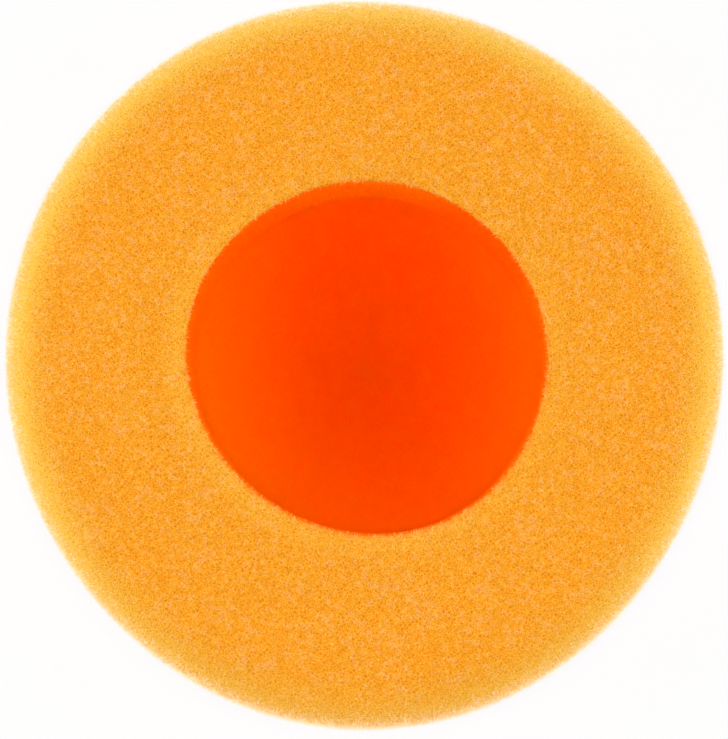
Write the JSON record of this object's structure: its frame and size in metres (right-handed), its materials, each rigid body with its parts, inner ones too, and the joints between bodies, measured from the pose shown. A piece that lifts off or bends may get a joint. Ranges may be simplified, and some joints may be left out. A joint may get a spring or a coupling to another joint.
{
  "type": "polishing pad",
  "caption": "Round foam polishing pad: thick open-cell orange ring with a rounded shoulder and wide centre hole, on a red-orange interface foam with a loop back.",
  "frame": {"origin": "on the pad's axis, at the lowest point of the loop cloth on its back", "axes": "+Z along the pad's axis, from the loop back to the working face; +Y is up and +X right with the working face seen from in front"},
  "size_m": [0.1, 0.1, 0.037],
  "materials": {
    "work_foam": "matte open-cell polyurethane foam, light orange",
    "interface_foam": "matte fine-cell polyurethane foam, red-orange",
    "adhesive_film": "matte hot-melt film, pale amber",
    "loop_fabric": "matte brushed nylon loop knit, off-white"
  },
  "bodies": {
    "root": {"loop_fabric": "loop_fabric", "back_adhesive": "adhesive_film", "interface_foam": "interface_foam", "face_adhesive": "adhesive_film", "work_foam": "work_foam"}
  },
  "joints": []
}
